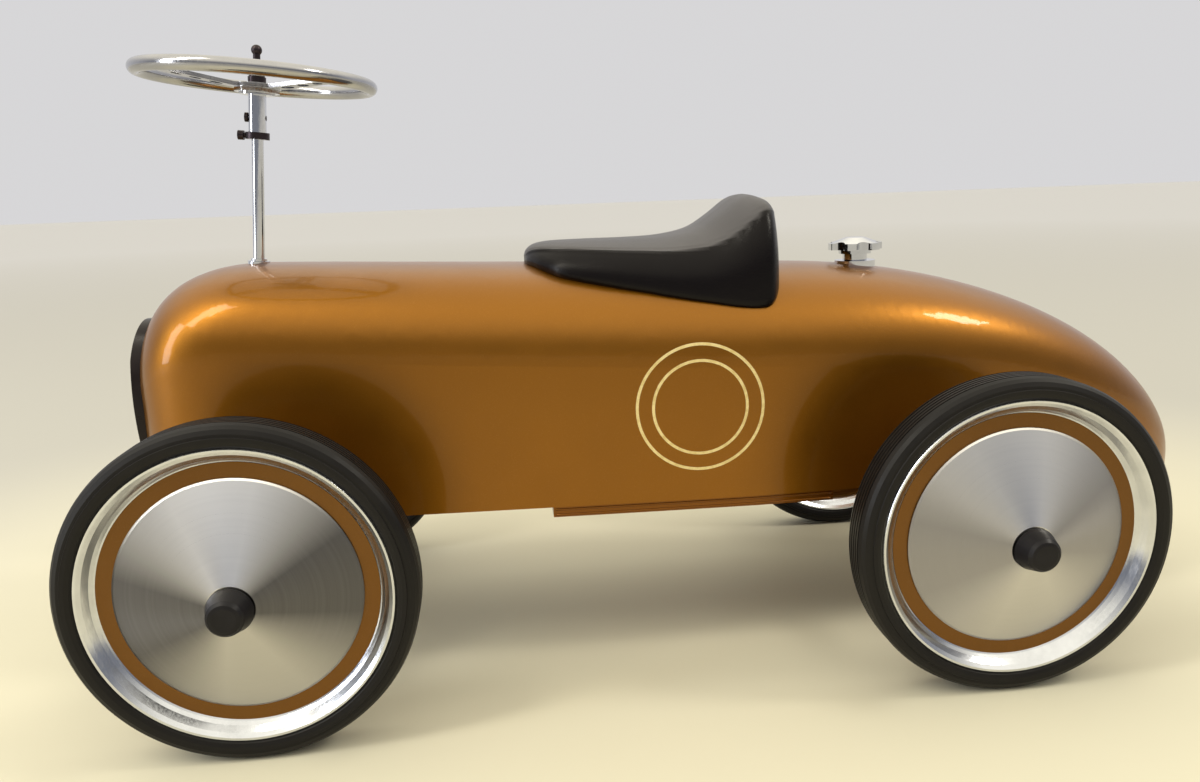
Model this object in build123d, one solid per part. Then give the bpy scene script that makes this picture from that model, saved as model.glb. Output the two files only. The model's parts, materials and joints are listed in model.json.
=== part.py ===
from build123d import *

import os
from math import atan2, cos, degrees, pi, sin

# Ride-on racing car for a toddler: pressed steel body, steered front wheels, moulded saddle.
# Frame: millimetres, +X towards the nose, +Y to the driver's left, +Z up. The origin is on the ground,
# in the middle of the car's length and width.

# ---------------------------------------------------------------- driving dimensions
WHEEL_R = 104.0
FRONT_X = 296.5  # front axle
REAR_X = -180.0  # rear axle
AXLE_Z = WHEEL_R
LIP_Y = 172.0  # outer lip plane of each wheel's rim, from the centre line

# body skin
SKIN = 0.9  # sheet thickness
NOSE_LEN = 93.0  # length over which the nose rounds off
HEM = 14.0  # width of the inward hem round the open underside
NOSE_X = 382.5
TAIL_X = -397.5
BELLY_Z = 117.0
DROP_X = -206.0  # the lower edge starts to sink here
TAIL_DROP = 29.0  # how far it has sunk at the tail
CROWN_Z = 272.5  # crown height at the origin
CROWN_RISE = 0.041  # the crown climbs this much per millimetre towards the nose
WIDE_X = -33.5  # where the body is widest
WIDE_HALF = 91.0
NARROW_BY = 12.0  # how much narrower each side is at the front axle
FALL_X = -103.5  # the crown starts to fall towards the tail here
ARCH_H = 64.0  # height of the arched top above the flat sides
ARCH_POWER = 2.35  # superellipse power of the arch
ARCH_STEPS = 12
UNDERCUT_Z = 60.0  # the sides are drawn down to here before the lower edge is cut

# steering column
COLUMN_X = 305.4  # column axis at HOOD_Z
HOOD_Z = 285.0
COLUMN_LEAN = 5.48  # degrees, top towards the driver
ROD_R = 4.0
SLEEVE_R = 6.0
CRANK = 36.0  # crank length, equal to the steering arms
STEER_WHEEL_R = 80.5
STEER_RIM_R = 4.8

# front axle
KINGPIN_Y = 114.0
KINGPIN_R = 4.0
SPINDLE_R = 5.0
EAR_T = 3.0
PIN_R = 3.0  # tie rod pins
LINK_EYE_R = 7.0  # rounded ends of the links
RUNNING = 0.05  # radial running clearance
LINK_GAP = 0.5  # face clearance between turning plates

# wheel section, radii and depths inwards of the lip plane
DISH_R = 80.4  # inner edge of the rim, and the wheel disc
TRIM_R = 71.1  # outer edge of the trim cone
DISC_DEPTH = 7.5
CONE_TOP = 14.0  # the trim cone's top stands this far outside the lip plane
CAP_BASE_R = 13.5
CAP_TOP_R = 9.5
CAP_H = 14.0
HUB_R = 9.0
HUB_IN = 36.0  # inner end of the hub, inwards of the lip plane
SPINDLE_END = LIP_Y + CONE_TOP + 9.0

# saddle and trim
FILLER_X = -134.0
TRAY_FRONT_X = 108.0
TRAY_BACK_X = -88.0
TRAY_DEPTH = 7.5
SADDLE_CLEAR = 0.4  # gap between the saddle and the body

# heights that pass through the roof or through the hem
ROOF_CUT = (240.0, 300.0)
HEM_CUT = (100.0, 125.0)

parts = {}


def keep(name, shape):
    """Stores one named sub-part."""
    parts[name] = shape


def cyl(radius, low, high, axis="Z", at=(0.0, 0.0)):
    """A cylinder along an axis from low to high. at holds the other two coordinates in X, Y, Z order."""
    body = Cylinder(radius, high - low, align=(Align.CENTER, Align.CENTER, Align.MIN))
    if axis == "Z":
        return Pos(at[0], at[1], low) * body
    if axis == "Y":
        return Pos(at[0], low, at[1]) * Rot(-90, 0, 0) * body
    return Pos(low, at[0], at[1]) * Rot(0, 90, 0) * body


def block(x, y, z):
    """A box from three (low, high) pairs."""
    size = [pair[1] - pair[0] for pair in (x, y, z)]
    return Pos(x[0], y[0], z[0]) * Box(*size, align=(Align.MIN, Align.MIN, Align.MIN))


def hexagon(radius, low, high, at):
    """A hexagonal prism along Z, sized by the circle inside it."""
    profile = RegularPolygon(radius, 6, major_radius=False)
    return Pos(at[0], at[1], low) * extrude(profile, high - low)


# ---------------------------------------------------------------- body surface
def rounding(share, power, root):
    """1 at share 0, falling smoothly to 0 at share 1."""
    share = min(max(share, 0.0), 0.9995)
    return (1.0 - share**power) ** (1.0 / root)


def nose_share(x):
    """How far a station is into the nose, which would close completely at 1."""
    return (x - (NOSE_X - NOSE_LEN)) / (NOSE_LEN + 7.0)


def half_width(x):
    """Half the body's width at the straight part of its sides."""
    forward = max(0.0, (x - WIDE_X) / (FRONT_X - WIDE_X))
    wide = WIDE_HALF - NARROW_BY * forward**1.3
    tail = rounding((WIDE_X - x) / (WIDE_X - TAIL_X), 2.2, 2.0)
    return wide * tail * rounding(nose_share(x), 3.4, 2.6)


def belly(x):
    """Height of the body's lower edge."""
    back = max(0.0, (DROP_X - x) / (DROP_X - TAIL_X))
    return BELLY_Z - TAIL_DROP * back**1.6


def crown(x):
    """Height of the body's top line."""
    line = CROWN_Z + CROWN_RISE * x - belly(x)
    tail = rounding((FALL_X - x) / (FALL_X - TAIL_X + 5.0), 1.8, 1.75)
    return belly(x) + line * tail * rounding(nose_share(x), 2.6, 5.0)


def section(x, grow):
    """The body's closed outline at one station, moved outwards by grow. Its lower edge is trimmed later."""
    wide = half_width(x) + grow
    top = crown(x) + grow
    arch = min(ARCH_H * (half_width(x) / WIDE_HALF) ** 0.6, 0.72 * (crown(x) - belly(x))) + grow
    spring = top - arch
    points = []
    for step in range(ARCH_STEPS + 1):
        turn = pi * step / ARCH_STEPS
        across = abs(cos(turn)) ** (2 / ARCH_POWER) * (1 if cos(turn) >= 0 else -1)
        up = abs(sin(turn)) ** (2 / ARCH_POWER)
        points.append((x, wide * across, spring + arch * up))
    right, left = (x, wide, UNDERCUT_Z), (x, -wide, UNDERCUT_Z)
    with BuildLine() as outline:
        Line(left, right)
        Line(right, points[0])
        Spline(points, tangents=[(0, 0, 1), (0, 0, -1)])
        Line(points[-1], left)
    return Wire(outline.edges())


def stations():
    """Section positions, closer together where the ends round off."""
    nose = [NOSE_X - NOSE_LEN * share for share in (0, 0.06, 0.15, 0.28, 0.45, 0.7, 1)]
    middle = [190.0, 80.0, WIDE_X, -110.0, -180.0, -240.0, -290.0]
    tail = [TAIL_X + 70.0 * share for share in (1, 0.6, 0.33, 0.14, 0.04, 0.004)]
    return nose + middle + tail


def above_belly(offset):
    """Everything above the body's lower edge line, which runs level and then sinks to the tail."""
    low = BELLY_Z + offset
    end = (TAIL_X - 20.0, low - TAIL_DROP - 6.0)
    with BuildSketch(Plane.XZ) as profile:
        with BuildLine():
            Line((NOSE_X + 30.0, low), (DROP_X, low))
            Spline([(DROP_X, low), end], tangents=[(-1, 0), (-1, -0.35)])
            Polyline([end, (TAIL_X - 20.0, 330.0), (NOSE_X + 30.0, 330.0), (NOSE_X + 30.0, low)])
        make_face()
    return extrude(profile.sketch, 150.0, both=True)


def body_solid(grow=0.0, floor=0.0):
    """The body's outline as one solid, moved outwards by grow and cut off along its lower edge."""
    length = NOSE_X - TAIL_X
    wires = []
    for x in stations():
        shift = grow * (2 * (x - TAIL_X) / length - 1)
        wires.append(Pos(shift, 0, 0) * section(x, grow))
    return Solid.make_loft(wires) & above_belly(floor)


BODY = body_solid()
ON_COLUMN = Pos(COLUMN_X, 0, HOOD_Z) * Rot(0, -COLUMN_LEAN, 0)

# ---------------------------------------------------------------- body shell
cavity = body_solid(-SKIN, SKIN)
underside = body_solid(-HEM, -3.0)
shell = BODY - cavity - underside

GROMMET_R = 5.6
shell -= ON_COLUMN * cyl(GROMMET_R, -15.0, 15.0)

SEAT_SCREW_R = 3.0
SEAT_SCREW_X = (70.0, -30.0)
for x in SEAT_SCREW_X:
    shell -= cyl(SEAT_SCREW_R, *ROOF_CUT, at=(x, 0))

FILLER_SCREW_R = 3.0
shell -= cyl(FILLER_SCREW_R, *ROOF_CUT, at=(FILLER_X, 0))

BEAM_BOLT_Y = 71.5
BEAM_BOLT_R = 3.0
BRACKET_BOLT_Y = 76.0
BRACKET_BOLT_R = 2.5
BOLT_FROM_END = 14.0
BRACKET_BOLT_X = (REAR_X - BOLT_FROM_END, REAR_X + BOLT_FROM_END)
TRAY_SCREW_X = (TRAY_FRONT_X - BOLT_FROM_END, TRAY_BACK_X + BOLT_FROM_END)
TRAY_SCREW_Y = 80.0
TRAY_SCREW_R = 2.0
for side in (1, -1):
    shell -= cyl(BEAM_BOLT_R, *HEM_CUT, at=(FRONT_X, side * BEAM_BOLT_Y))
    for x in BRACKET_BOLT_X:
        shell -= cyl(BRACKET_BOLT_R, *HEM_CUT, at=(x, side * BRACKET_BOLT_Y))
    for x in TRAY_SCREW_X:
        shell -= cyl(TRAY_SCREW_R, *HEM_CUT, at=(x, side * TRAY_SCREW_Y))
keep("body_shell", shell)

# ---------------------------------------------------------------- grille
GRILLE_THICK = 4.8
GRILLE_TOP = 249.0
GRILLE_LOW = 130.0
GRILLE_HALF = 43.0
GRILLE_RIM = 7.0
GRILLE_BAR = 3.2
GRILLE_PITCH = 9.5
GRILLE_RELIEF = 2.5  # the bars lie this far below the surround
GRILLE_X = (330.0, 410.0)  # ahead of and behind the grille, for cutting


def shield(margin, x_low, x_high):
    """The grille's outline, wide at the top and narrower below, as a prism along X."""
    top, low = GRILLE_TOP - margin, GRILLE_LOW + margin
    half = GRILLE_HALF - margin
    points = [
        (0, top),
        (half * 0.72, top - 9),
        (half, top - 38),
        (half * 0.95, low + 34),
        (half * 0.62, low + 6),
        (0, low),
    ]
    mirrored = [(-y, z) for y, z in reversed(points[1:-1])]
    with BuildSketch(Plane.YZ.offset(x_low)) as sketch:
        with BuildLine():
            Spline(points + mirrored, periodic=True)
        make_face()
    return extrude(sketch.sketch, x_high - x_low)


raised = body_solid(GRILLE_THICK) - BODY
frame_ring = shield(0, *GRILLE_X) - shield(GRILLE_RIM, *GRILLE_X)
keep("grille_frame", raised & frame_ring)

panel = body_solid(GRILLE_THICK - GRILLE_RELIEF) - BODY
insert = panel & shield(GRILLE_RIM, *GRILLE_X)
slots = []
level = GRILLE_LOW + 18.0
while level < GRILLE_TOP - 14.0:
    gap = (level, level + GRILLE_PITCH - GRILLE_BAR)
    slots.append(block(GRILLE_X, (-GRILLE_HALF, GRILLE_HALF), gap))
    level += GRILLE_PITCH
half_bar = GRILLE_BAR / 2
spine = block(GRILLE_X, (-half_bar, half_bar), (GRILLE_LOW, GRILLE_TOP))
window = shield(GRILLE_RIM + GRILLE_BAR, *GRILLE_X) - spine
relief = body_solid(GRILLE_THICK) - body_solid(1.0)
keep("grille_bars", insert - (relief & window & Compound(slots)))

# ---------------------------------------------------------------- belly tray
TRAY_SHEET = 1.5
TRAY_INSET = 1.5
TRAY_HEAD_R = 3.8


def tray_block(inset, low, high):
    """The tray's plan between its two ends, following the body's sides."""
    spots = [TRAY_BACK_X + inset, WIDE_X, 20.0, 70.0, TRAY_FRONT_X - inset]
    left = [(x, half_width(x) - TRAY_INSET - inset) for x in spots]
    right = [(x, -y) for x, y in reversed(left)]
    with BuildSketch(Plane.XY.offset(low)) as sketch:
        with BuildLine():
            Polyline(left + right, close=True)
        make_face()
    return extrude(sketch.sketch, high - low)


tray_low = BELLY_Z - TRAY_DEPTH


def countersunk(x, y):
    """A flat screw head, flush with the tray's underside."""
    head = Cone(TRAY_HEAD_R, TRAY_SCREW_R, TRAY_SHEET, align=(Align.CENTER, Align.CENTER, Align.MIN))
    return Pos(x, y, tray_low) * head


tray = tray_block(0, tray_low, BELLY_Z) - tray_block(TRAY_SHEET, tray_low + TRAY_SHEET, BELLY_Z + 1)
spacers = []
tray_screws = []
for x in TRAY_SCREW_X:
    for y in (TRAY_SCREW_Y, -TRAY_SCREW_Y):
        tray -= cyl(TRAY_SCREW_R, tray_low - 1, tray_low + TRAY_SHEET + 1, at=(x, y))
        tray -= countersunk(x, y)
        tube = cyl(4.0, tray_low + TRAY_SHEET, BELLY_Z, at=(x, y))
        spacers.append(tube - cyl(TRAY_SCREW_R, tray_low, BELLY_Z + 1, at=(x, y)))
        shank = cyl(TRAY_SCREW_R, tray_low, BELLY_Z + SKIN + 3.0, at=(x, y))
        nut = hexagon(3.5, BELLY_Z + SKIN, BELLY_Z + SKIN + 3.0, (x, y))
        tray_screws.append(shank + countersunk(x, y) + nut)
keep("belly_tray", tray)
keep("tray_spacers", Compound(spacers))
keep("tray_screws", Compound(tray_screws))

# ---------------------------------------------------------------- front axle beam
BEAM_LEN = KINGPIN_Y - 7.0
BEAM_WALL = 2.0
BEAM_TOP = BELLY_Z
BEAM_BOTTOM = BELLY_Z - 20.0
BEAM_X = 12.0  # half the beam's depth along the car
BEAM_END = 6.0  # solid metal at each end
M6_NUT = 5.0  # half the width across a nut's flats
SLEEVE_BOSS_R = 9.0

beam_x = (FRONT_X - BEAM_X, FRONT_X + BEAM_X)
beam = block(beam_x, (-BEAM_LEN, BEAM_LEN), (BEAM_BOTTOM, BEAM_TOP))
hollow_x = (beam_x[0] + BEAM_WALL, beam_x[1] - BEAM_WALL)
hollow_y = (-BEAM_LEN + BEAM_END, BEAM_LEN - BEAM_END)
hollow_z = (BEAM_BOTTOM + BEAM_WALL, BEAM_TOP - BEAM_WALL)
beam -= block(hollow_x, hollow_y, hollow_z)
for side in (1, -1):
    beam += cyl(SLEEVE_BOSS_R, BEAM_BOTTOM, BEAM_TOP, at=(FRONT_X, side * KINGPIN_Y))
    beam -= cyl(KINGPIN_R, BEAM_BOTTOM - 1, BEAM_TOP + 1, at=(FRONT_X, side * KINGPIN_Y))
    beam -= cyl(BEAM_BOLT_R, BEAM_BOTTOM - 1, BEAM_TOP + 1, at=(FRONT_X, side * BEAM_BOLT_Y))
keep("front_beam", beam)

beam_bolts = []
for side in (1, -1):
    spot = (FRONT_X, side * BEAM_BOLT_Y)
    bolt = cyl(BEAM_BOLT_R, BEAM_BOTTOM, BEAM_TOP + SKIN + 6, at=spot)
    bolt += hexagon(M6_NUT, BEAM_BOTTOM - 4, BEAM_BOTTOM, spot)
    bolt += hexagon(M6_NUT, BEAM_TOP + SKIN, BEAM_TOP + SKIN + 4.5, spot)
    beam_bolts.append(bolt)
keep("beam_bolts", Compound(beam_bolts))

ear_top = BEAM_TOP + LINK_GAP
ear_low = BEAM_BOTTOM - LINK_GAP - EAR_T
kingpins = []
for side in (1, -1):
    spot = (FRONT_X, side * KINGPIN_Y)
    pin = cyl(KINGPIN_R, ear_low - LINK_GAP - 4, ear_top + EAR_T + LINK_GAP, at=spot)
    pin += cyl(7.0, ear_top + EAR_T + LINK_GAP, ear_top + EAR_T + LINK_GAP + 3.5, at=spot)
    pin += hexagon(6.5, ear_low - LINK_GAP - 5, ear_low - LINK_GAP, spot)
    kingpins.append(pin)
keep("kingpins", Compound(kingpins))

# ---------------------------------------------------------------- knuckles and spindles
PLATE_Y = KINGPIN_Y + 12.0
PLATE_T = 3.0
EAR_R = 9.0
HUB_INNER_Y = LIP_Y - HUB_IN
arm_x = FRONT_X - CRANK
ARM_HALF = 6.0
SHOULDER_R = 7.5
END_PLAY = 0.3  # between a hub and its shoulder


def knuckle(side):
    """A pressed C-bracket that turns on the kingpin and carries the steering arm."""
    outer = sorted((side * KINGPIN_Y, side * (PLATE_Y + PLATE_T)))
    plate = sorted((side * PLATE_Y, side * (PLATE_Y + PLATE_T)))
    across = (FRONT_X - EAR_R, FRONT_X + EAR_R)
    shape = block(across, plate, (ear_low, ear_top + EAR_T))
    for low in (ear_low, ear_top):
        shape += block(across, outer, (low, low + EAR_T))
        shape += cyl(EAR_R, low, low + EAR_T, at=(FRONT_X, side * KINGPIN_Y))
    arm_y = (side * KINGPIN_Y - ARM_HALF, side * KINGPIN_Y + ARM_HALF)
    shape += block((arm_x, FRONT_X), arm_y, (ear_low, ear_low + EAR_T))
    shape += cyl(LINK_EYE_R, ear_low, ear_low + EAR_T, at=(arm_x, side * KINGPIN_Y))
    shape -= cyl(PIN_R + RUNNING, ear_low - 1, ear_low + EAR_T + 1, at=(arm_x, side * KINGPIN_Y))
    shape -= cyl(KINGPIN_R + RUNNING, ear_low - 1, ear_top + EAR_T + 1, at=(FRONT_X, side * KINGPIN_Y))
    return shape - spindle(side)


def spindle(side):
    """The stub that a front wheel runs on, with a shoulder against the hub."""
    low, high = sorted((side * PLATE_Y, side * SPINDLE_END))
    shape = cyl(SPINDLE_R, low, high, axis="Y", at=(FRONT_X, AXLE_Z))
    low, high = sorted((side * (PLATE_Y + PLATE_T), side * (HUB_INNER_Y - END_PLAY)))
    return shape + cyl(SHOULDER_R, low, high, axis="Y", at=(FRONT_X, AXLE_Z))


def axle_cap(side, x):
    """A tapered push-on cap over an axle end."""
    base, top = LIP_Y + CONE_TOP + 0.5, LIP_Y + CONE_TOP + CAP_H
    outline = [
        (SPINDLE_R, base),
        (CAP_BASE_R - 1.0, base),
        (CAP_BASE_R, base + 1.0),
        (CAP_BASE_R - 0.4, base + 2.2),
        (CAP_TOP_R + 1.1, top - 2.4),
        (CAP_TOP_R - 0.6, top - 0.4),
        (CAP_TOP_R - 2.6, top),
        (0, top),
        (0, SPINDLE_END),
        (SPINDLE_R, SPINDLE_END),
    ]
    return Pos(x, 0, AXLE_Z) * spun(outline, side)


def spun(outline, side):
    """Turns an outline of (radius, distance from the centre line) about a wheel's axis."""
    with BuildSketch(Plane.XY) as sketch:
        with BuildLine():
            Polyline([(radius, side * y) for radius, y in outline], close=True)
        make_face()
    return revolve(sketch.sketch, Axis.Y, 360)


for label, side in (("left", 1), ("right", -1)):
    keep(f"knuckle_{label}", knuckle(side))
    keep(f"spindle_{label}", spindle(side))
    keep(f"front_cap_{label}", axle_cap(side, FRONT_X))

# ---------------------------------------------------------------- rear axle
rear_axle = cyl(SPINDLE_R, -SPINDLE_END, SPINDLE_END, axis="Y", at=(REAR_X, AXLE_Z))
keep("rear_axle", rear_axle)
keep("rear_caps", Compound([axle_cap(1, REAR_X), axle_cap(-1, REAR_X)]))

CHEEK_Y = 61.0
CHEEK_R = 15.0
BRACKET_T = 3.0
BRACKET_X = 24.0
M5_NUT = 4.0
SPACER_R = 8.0
bracket_bolts = []
for label, side in (("left", 1), ("right", -1)):
    cheek_y = sorted((side * CHEEK_Y, side * (CHEEK_Y + BRACKET_T)))
    flange_y = sorted((side * CHEEK_Y, side * (BRACKET_BOLT_Y + 6.0)))
    flange_x = (REAR_X - BRACKET_X, REAR_X + BRACKET_X)
    bracket = block(flange_x, flange_y, (BELLY_Z - BRACKET_T, BELLY_Z))
    bracket += block((REAR_X - CHEEK_R, REAR_X + CHEEK_R), cheek_y, (AXLE_Z, BELLY_Z))
    bracket += cyl(CHEEK_R, *cheek_y, axis="Y", at=(REAR_X, AXLE_Z))
    bracket -= rear_axle
    for x in BRACKET_BOLT_X:
        spot = (x, side * BRACKET_BOLT_Y)
        bracket -= cyl(BRACKET_BOLT_R, BELLY_Z - BRACKET_T - 1, BELLY_Z + 1, at=spot)
        bolt = cyl(BRACKET_BOLT_R, BELLY_Z - BRACKET_T, BELLY_Z + SKIN + 4, at=spot)
        bolt += hexagon(M5_NUT, BELLY_Z - BRACKET_T - 3.5, BELLY_Z - BRACKET_T, spot)
        bolt += hexagon(M5_NUT, BELLY_Z + SKIN, BELLY_Z + SKIN + 3, spot)
        bracket_bolts.append(bolt)
    keep(f"rear_bracket_{label}", bracket)
keep("bracket_bolts", Compound(bracket_bolts))

rear_spacers = []
for side in (1, -1):
    low, high = sorted((side * (CHEEK_Y + BRACKET_T), side * (HUB_INNER_Y - END_PLAY)))
    rear_spacers.append(cyl(SPACER_R, low, high, axis="Y", at=(REAR_X, AXLE_Z)) - rear_axle)
keep("rear_spacers", Compound(rear_spacers))

# ---------------------------------------------------------------- steering column
HUB_LOW = 114.5  # distances along the column, up from the hood
WHEEL_UP = 125.2
COLLAR_LOW = 85.0
COLLAR_T = 4.6
CRANK_LOW = -197.4
ROD_TOP = 131.0
TIE_LOW = 90.0
TIE_T = 3.0
BUSH_R = 7.0

CRANK_EYE_R = 10.0
CRANK_PIN_H = 10.5
CLIP_R = 5.5
CLIP_T = 1.4
CROSS_UP = 99.5
CROSS_R = 1.8
SMALL_HEAD_R = 3.2
COLLAR_R = 8.0
COLLAR_SCREW_R = 1.6
COLLAR_SCREW_OUT = 13.0
SCREW_UP = COLLAR_LOW + COLLAR_T / 2
STEER_HUB_R = 15.0
STEER_HUB_T = 4.5
STEER_BOSS_R = 9.0
STEER_BOSS_T = 3.5

rod = cyl(ROD_R, CRANK_LOW, ROD_TOP)
crank_top = CRANK_LOW + EAR_T
crank_eye = (-CRANK, 0)
crank = cyl(CRANK_EYE_R, CRANK_LOW, crank_top)
crank += block((-CRANK, 0), (-LINK_EYE_R, LINK_EYE_R), (CRANK_LOW, crank_top))
crank += cyl(LINK_EYE_R, CRANK_LOW, crank_top, at=crank_eye)
crank += cyl(PIN_R, CRANK_LOW, CRANK_LOW + CRANK_PIN_H, at=crank_eye)
crank -= cyl(ROD_R, CRANK_LOW - 1, crank_top + 1)
clip = cyl(CLIP_R, CRANK_LOW + CRANK_PIN_H - CLIP_T, CRANK_LOW + CRANK_PIN_H, at=crank_eye)
clip -= cyl(PIN_R, CRANK_LOW, CRANK_LOW + 2 * CRANK_PIN_H, at=crank_eye)

sleeve = cyl(SLEEVE_R, COLLAR_LOW, HUB_LOW) - cyl(ROD_R, COLLAR_LOW - 1, HUB_LOW + 1)
cross_hole = cyl(CROSS_R, -2 * SLEEVE_R, 2 * SLEEVE_R, axis="X", at=(0, CROSS_UP))
rod -= cross_hole
sleeve -= cross_hole
cross_bolt = cyl(CROSS_R, -SLEEVE_R, SLEEVE_R, axis="X", at=(0, CROSS_UP))
cross_bolt += cyl(SMALL_HEAD_R, SLEEVE_R, SLEEVE_R + 2.2, axis="X", at=(0, CROSS_UP))

collar = cyl(COLLAR_R, COLLAR_LOW, COLLAR_LOW + COLLAR_T)
collar -= cyl(SLEEVE_R, COLLAR_LOW - 1, COLLAR_LOW + COLLAR_T + 1)
collar -= cyl(COLLAR_SCREW_R, SLEEVE_R - 1, 2 * COLLAR_R, axis="X", at=(0, SCREW_UP))
collar_screw = cyl(COLLAR_SCREW_R, SLEEVE_R, COLLAR_R + 1, axis="X", at=(0, SCREW_UP))
collar_screw += cyl(SMALL_HEAD_R, COLLAR_R + 1, COLLAR_SCREW_OUT, axis="X", at=(0, SCREW_UP))

# steering wheel: a ring, three dished spokes and a hub
boss_low = HUB_LOW + STEER_HUB_T
boss_top = boss_low + STEER_BOSS_T
hub = cyl(STEER_HUB_R, HUB_LOW, boss_low) + cyl(STEER_BOSS_R, boss_low, boss_top)
hub -= cyl(ROD_R, HUB_LOW - 1, boss_top + 1)
hub -= cyl(STEER_HUB_R, HUB_LOW - 1, HUB_LOW + 1.6) - cyl(STEER_HUB_R - 3, HUB_LOW - 1, HUB_LOW + 1.6)
spoke_run = STEER_WHEEL_R - STEER_RIM_R
ring = Pos(0, 0, WHEEL_UP) * Torus(spoke_run, STEER_RIM_R)

SPOKE_W = 13.0
SPOKE_T = 2.6
SPOKE_ANGLES = (0.0, 120.0, 240.0)
SPOKE_HOLES = (27.0, 40.0, 52.0)
SPOKE_HOLE_R = (4.2, 3.7, 3.2)
SPOKE_START = 30.0  # angle of the first spoke from straight ahead
high = WHEEL_UP + SPOKE_T / 2
bend = 12.0  # length of the flat at the rim end
spoke_side = [
    (STEER_BOSS_R, boss_low),
    (STEER_HUB_R + 3.0, boss_low),
    (spoke_run - bend, high - SPOKE_T),
    (spoke_run, high - SPOKE_T),
    (spoke_run, high),
    (spoke_run - bend, high),
    (STEER_HUB_R + 2.5, boss_low + SPOKE_T),
    (STEER_BOSS_R, boss_low + SPOKE_T),
]
with BuildSketch(Plane.XZ) as spoke_sketch:
    with BuildLine():
        Polyline(spoke_side, close=True)
    make_face()
spoke = extrude(spoke_sketch.sketch, SPOKE_W / 2, both=True)
for reach, radius in zip(SPOKE_HOLES, SPOKE_HOLE_R):
    spoke -= cyl(radius, boss_low - 5, high + 5, at=(reach, 0))
spokes = cyl(STEER_HUB_R + 1.0, boss_low, boss_low + SPOKE_T)
for angle in SPOKE_ANGLES:
    spokes += Rot(0, 0, SPOKE_START + angle) * spoke
spokes -= ring
spokes -= cyl(STEER_BOSS_R, boss_low - 1, boss_low + SPOKE_T + 1)

FINIAL_STEPS = [(6.0, 4.0), (5.2, 6.0), (2.4, 9.0)]  # radius and height of each step
FINIAL_BALL_R = 3.6
level = boss_top
finial = None
for radius, height in FINIAL_STEPS:
    step = cyl(radius, level, level + height)
    finial = step if finial is None else finial + step
    level += height
finial += Pos(0, 0, level + FINIAL_BALL_R - 1.0) * Sphere(FINIAL_BALL_R)
finial -= cyl(ROD_R, HUB_LOW, ROD_TOP)

column_nodes = {
    "steering_rod": rod,
    "crank_lever": crank,
    "crank_clip": clip,
    "steering_sleeve": sleeve,
    "cross_bolt": cross_bolt,
    "clamp_collar": collar,
    "collar_screw": collar_screw,
    "steering_hub": hub,
    "steering_ring": ring,
    "steering_spokes": spokes,
    "finial_nut": finial,
}
for name, shape in column_nodes.items():
    keep(name, ON_COLUMN * shape)

# ---------------------------------------------------------------- column supports
LUG_LOW = -184.0
LUG_HIGH = -174.0
LUG_R = 13.0
FOOT_HALF = 20.0
FOOT_T = 3.0
BUSH_OUT = 2.0  # the bush stands this far out of each end of the lug
beam_front = FRONT_X + BEAM_X
eye = block((-6.0, 0.0), (-LUG_R, LUG_R), (LUG_LOW, LUG_HIGH)) + cyl(LUG_R, LUG_LOW, LUG_HIGH)
lug = ON_COLUMN * eye
lug_mid = (BEAM_BOTTOM + BEAM_TOP) / 2
lug += block((beam_front, beam_front + 12.0), (-LUG_R, LUG_R), (lug_mid - 5.0, lug_mid + 5.0))
lug += block((beam_front, beam_front + FOOT_T), (-FOOT_HALF, FOOT_HALF), (BEAM_BOTTOM + 1.0, BEAM_TOP - 1.0))
lug -= ON_COLUMN * cyl(BUSH_R, LUG_LOW - LUG_R, LUG_HIGH + LUG_R)
keep("column_bracket", lug)
bush = cyl(BUSH_R, LUG_LOW - BUSH_OUT, LUG_HIGH + BUSH_OUT)
bush -= cyl(ROD_R + RUNNING, LUG_LOW - LUG_R, LUG_HIGH + LUG_R)
keep("column_bush", ON_COLUMN * bush)

GROMMET_FLANGE_R = 7.6
grommet = ON_COLUMN * cyl(GROMMET_FLANGE_R, -8.0, 1.2) - BODY
grommet += ON_COLUMN * cyl(GROMMET_R, -7.0, 2.8)
grommet -= ON_COLUMN * cyl(ROD_R + RUNNING, -20.0, 20.0)
keep("column_grommet", grommet)

# ---------------------------------------------------------------- tie rod
TIE_HALF = 6.0
TIE_EYE_R = 8.0
PIN_HEAD_R = 5.0
PIN_HEAD_T = 2.5
PIN_SLANT = 0.04  # extra clearance, because the crank pin leans with the column
crank_pin_x = (ON_COLUMN * Pos(-CRANK, 0, CRANK_LOW + 6.0)).position.X
tie = block((arm_x - TIE_HALF, arm_x + TIE_HALF), (-KINGPIN_Y, KINGPIN_Y), (TIE_LOW, TIE_LOW + TIE_T))
tie += block((arm_x, crank_pin_x), (-TIE_EYE_R, TIE_EYE_R), (TIE_LOW, TIE_LOW + TIE_T))
tie += cyl(TIE_EYE_R, TIE_LOW, TIE_LOW + TIE_T, at=(crank_pin_x, 0))
tie -= ON_COLUMN * cyl(PIN_R + RUNNING + PIN_SLANT, CRANK_LOW, CRANK_LOW + 20, at=crank_eye)
tie_pins = []
for side in (1, -1):
    spot = (arm_x, side * KINGPIN_Y)
    tie += cyl(LINK_EYE_R, TIE_LOW, TIE_LOW + TIE_T, at=spot)
    tie -= cyl(PIN_R, TIE_LOW - 1, TIE_LOW + TIE_T + 1, at=spot)
    pin_top = ear_low + EAR_T + LINK_GAP
    pin = cyl(PIN_R, TIE_LOW - PIN_HEAD_T, pin_top, at=spot)
    pin += cyl(PIN_HEAD_R, TIE_LOW - PIN_HEAD_T, TIE_LOW, at=spot)
    pin += cyl(PIN_HEAD_R, pin_top, pin_top + PIN_HEAD_T, at=spot)
    tie_pins.append(pin)
keep("tie_rod", tie)
keep("tie_pins", Compound(tie_pins))

# ---------------------------------------------------------------- wheels
RIM_MID = -13.0  # middle of the rim's width, inwards of the lip plane


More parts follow.
